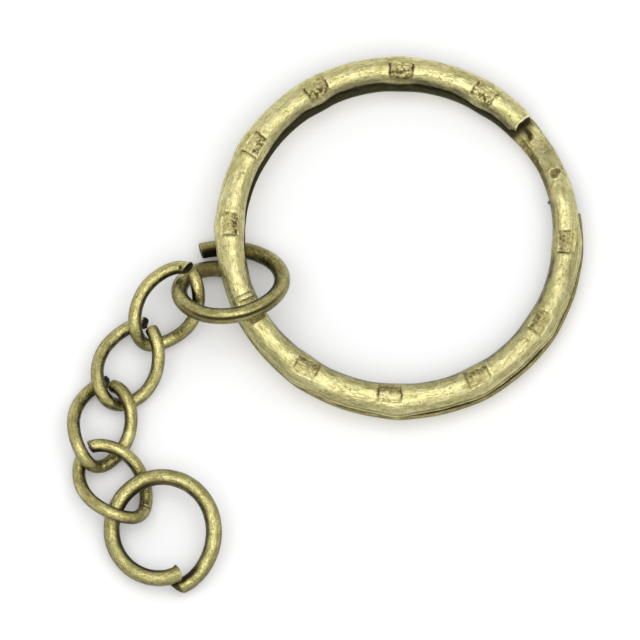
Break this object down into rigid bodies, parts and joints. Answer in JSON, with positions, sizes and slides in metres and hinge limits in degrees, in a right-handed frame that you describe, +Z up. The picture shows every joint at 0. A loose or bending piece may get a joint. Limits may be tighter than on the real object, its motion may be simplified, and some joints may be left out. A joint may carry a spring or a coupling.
{
  "type": "split key ring with chain",
  "caption": "Double-coil split key ring joined by an open jump ring to a short curb chain that ends in a jump ring, aged bronze finish.",
  "frame": {"origin": "centre of the footprint, on the surface that the ring and chain lie on", "axes": "+Z up from the table, +X from the chain towards the split ring, +Y along the footprint's longest side, from the end ring towards the split ring"},
  "size_m": [0.0352, 0.0374, 0.0054],
  "materials": {
    "aged_bronze_split_ring": "aged bronze plating, worn bright on the dome and dark in the stamped marks",
    "aged_bronze_jump_rings": "aged bronze plating, dark olive undersides",
    "aged_bronze_chain": "aged bronze plating, dark in the joints"
  },
  "bodies": {
    "connector": {"connector_ring": "aged_bronze_jump_rings"},
    "split_ring": {"split_ring": "aged_bronze_split_ring"},
    "free_end": {"split_ring_free_end": "aged_bronze_split_ring"},
    "link_1": {"chain_link_1": "aged_bronze_chain"},
    "link_2": {"chain_link_2": "aged_bronze_chain"},
    "link_3": {"chain_link_3": "aged_bronze_chain"},
    "link_4": {"chain_link_4": "aged_bronze_chain"},
    "end_ring": {"end_ring": "aged_bronze_jump_rings"}
  },
  "joints": [
    {"name": "split_ring_turn", "type": "hinge", "parent": "connector", "child": "split_ring", "pos_m": [0.00498, 0.0063, 0.00186], "axis": [0.0523, 0, 0.9986], "continuous": true},
    {"name": "free_end_pry", "type": "hinge", "parent": "split_ring", "child": "free_end", "pos_m": [-0.00266, 0.01487, 0.00347], "axis": [0.6682, -0.7431, -0.035], "range_deg": [0, 8], "stiffness_Nm_per_rad": 0.5},
    {"name": "link_1_swivel", "type": "hinge", "parent": "connector", "child": "link_1", "pos_m": [-0.00974, 0.00194, 0.00101], "axis": [0, 0, 1], "range_deg": [-15, 14]},
    {"name": "link_2_swivel", "type": "hinge", "parent": "link_1", "child": "link_2", "pos_m": [-0.01227, -0.00073, 0.00101], "axis": [0, 0, 1], "range_deg": [-40, 8]},
    {"name": "link_3_swivel", "type": "hinge", "parent": "link_2", "child": "link_3", "pos_m": [-0.01466, -0.00453, 0.00101], "axis": [0, 0, 1], "range_deg": [-12, 18]},
    {"name": "link_4_swivel", "type": "hinge", "parent": "link_3", "child": "link_4", "pos_m": [-0.01548, -0.00897, 0.00101], "axis": [0, 0, 1], "range_deg": [-45, 8]},
    {"name": "end_ring_swivel", "type": "hinge", "parent": "link_4", "child": "end_ring", "pos_m": [-0.01343, -0.01179, 0.00101], "axis": [0, 0, 1], "range_deg": [-18, 12]}
  ]
}
